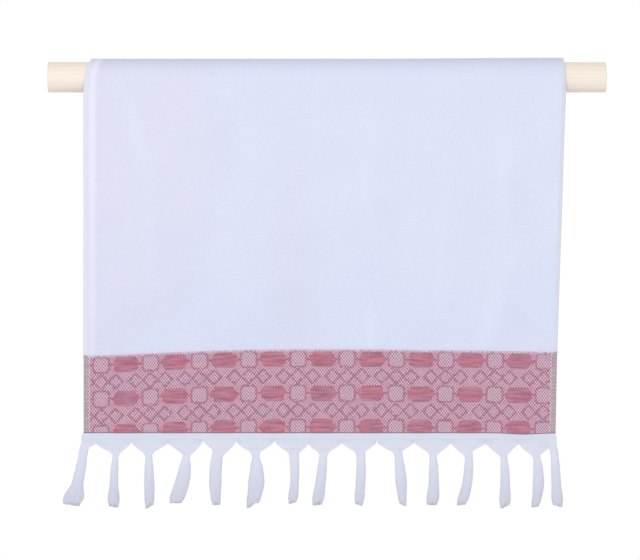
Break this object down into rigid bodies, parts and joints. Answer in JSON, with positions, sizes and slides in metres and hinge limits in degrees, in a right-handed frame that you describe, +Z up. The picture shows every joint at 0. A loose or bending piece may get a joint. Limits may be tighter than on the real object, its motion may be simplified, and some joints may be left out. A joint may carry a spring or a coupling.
{
  "type": "guest towel on a wooden rod",
  "caption": "White terry guest towel with a dusty red woven border and a tasselled fringe, hanging folded over a plain round wooden rod.",
  "frame": {"origin": "on the rod's axis, halfway along the rod", "axes": "+X along the rod, to the right as seen from the front half of the towel; +Y from the front half towards the back half; +Z up"},
  "size_m": [0.35, 0.0271, 0.2816],
  "materials": {
    "rod_wood": "sanded pale birch, unvarnished",
    "towel_cotton": "short loop terry, with a flat-woven dusty red border",
    "fringe_cotton": "loose brushed cotton yarn"
  },
  "bodies": {
    "root": {"rod": "rod_wood", "towel": "towel_cotton", "fringe_front": "fringe_cotton", "fringe_back": "fringe_cotton"}
  },
  "joints": []
}
